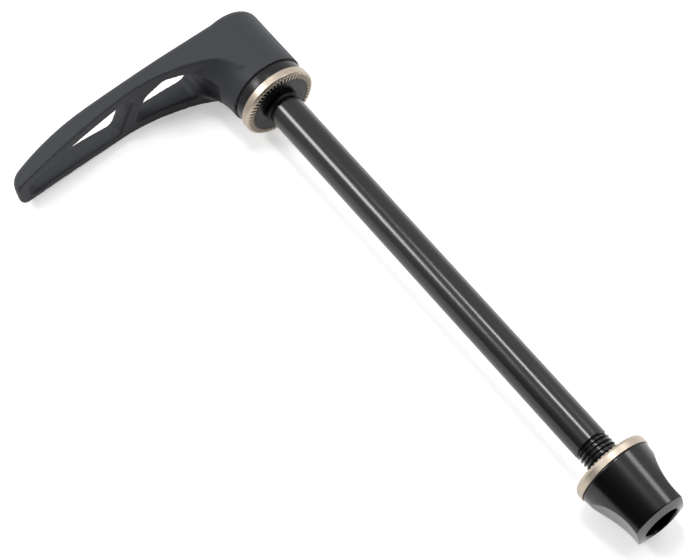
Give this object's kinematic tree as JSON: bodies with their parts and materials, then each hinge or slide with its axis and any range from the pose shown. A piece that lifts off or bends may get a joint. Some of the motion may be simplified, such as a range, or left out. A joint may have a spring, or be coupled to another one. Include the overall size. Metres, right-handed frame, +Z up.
{
  "type": "quick release skewer",
  "caption": "Threaded wheel skewer: curved windowed lever on a barrel head that pulls out to re-index, serrated clamp rings, smooth shaft and a tapered nut with finger scallops.",
  "frame": {"origin": "on the axle's axis, in the plane of the lever side's clamp face", "axes": "+X along the axle from the lever to the nut, +Z up from the floor the part lies on, so the lever's arm points to -Y"},
  "size_m": [0.1883, 0.0847, 0.0233],
  "materials": {
    "lever_black": "matte",
    "axle_black": "gloss",
    "collar_black": "gloss",
    "nut_black": "satin",
    "ring_champagne": "satin",
    "steel": "satin",
    "rubber": "matte"
  },
  "bodies": {
    "nut": {"nut": "nut_black", "nut_side_ring": "ring_champagne"},
    "collar": {"clamp_collar": "collar_black", "lever_side_ring": "ring_champagne"},
    "axle": {"axle": "axle_black", "retaining_o_ring": "rubber", "retaining_screw": "steel", "spring_washer_plate": "steel", "thrust_washer": "steel", "return_spring": "steel"},
    "lever": {"lever": "lever_black", "spline_insert": "steel"}
  },
  "joints": [
    {"name": "clamp_travel", "type": "slide", "parent": "nut", "child": "collar", "axis": [1, 0, 0], "range_m": [-0.0113, 0.0051]},
    {"name": "axle_turn", "type": "hinge", "parent": "collar", "child": "axle", "pos_m": [0, 0, 0], "axis": [1, 0, 0], "range_deg": [-3240, 1440]},
    {"name": "lever_pull", "type": "slide", "parent": "axle", "child": "lever", "axis": [-1, 0, 0], "range_m": [0, 0.0045], "stiffness_N_per_m": 2600, "springref_m": -0.001, "deforming": ["return_spring"]}
  ],
  "couplings": [
    {"joint": "clamp_travel", "follows": "axle_turn", "m_per_rad": 0.00019894}
  ]
}
